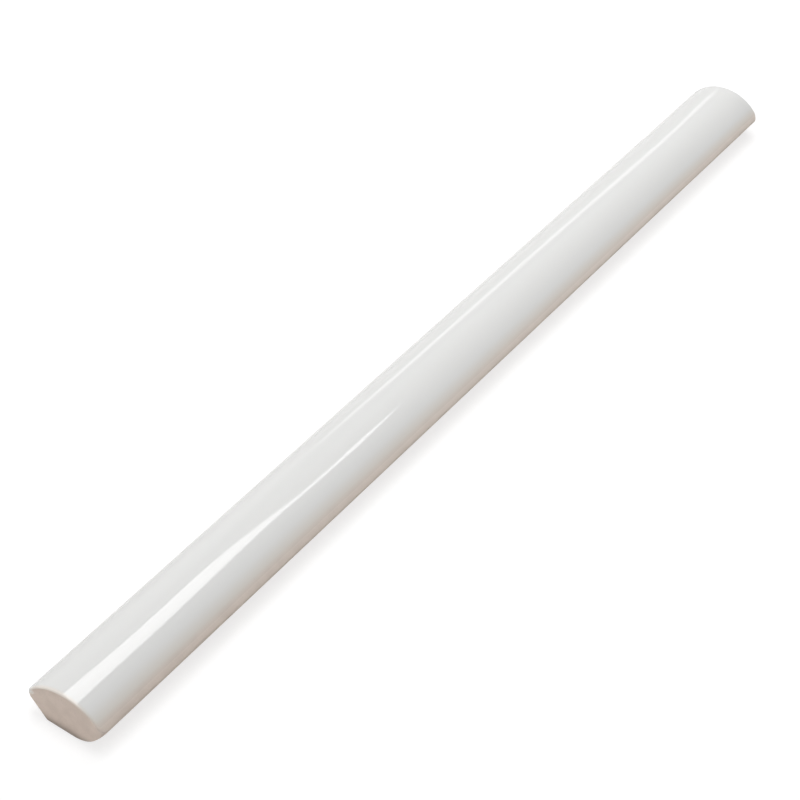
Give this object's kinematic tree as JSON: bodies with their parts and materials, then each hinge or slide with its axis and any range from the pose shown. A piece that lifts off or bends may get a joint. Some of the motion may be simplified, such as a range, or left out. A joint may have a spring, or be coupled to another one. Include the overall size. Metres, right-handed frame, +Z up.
{
  "type": "bullnose tile",
  "caption": "Slim glazed ceramic bullnose trim bar with a crowned face, flat back and two slanted bedding legs, used to round off an outside corner or tiled edge.",
  "frame": {"origin": "on the flat back, which is the bottom of the bar as it lies with its crown up, below the middle of its length and width", "axes": "+X along the length, +Y across the width, +Z up from the back to the crown"},
  "size_m": [0.2, 0.014, 0.0077],
  "materials": {
    "white_glaze": "gloss"
  },
  "bodies": {
    "root": {"bullnose_tile": "white_glaze"}
  },
  "joints": []
}
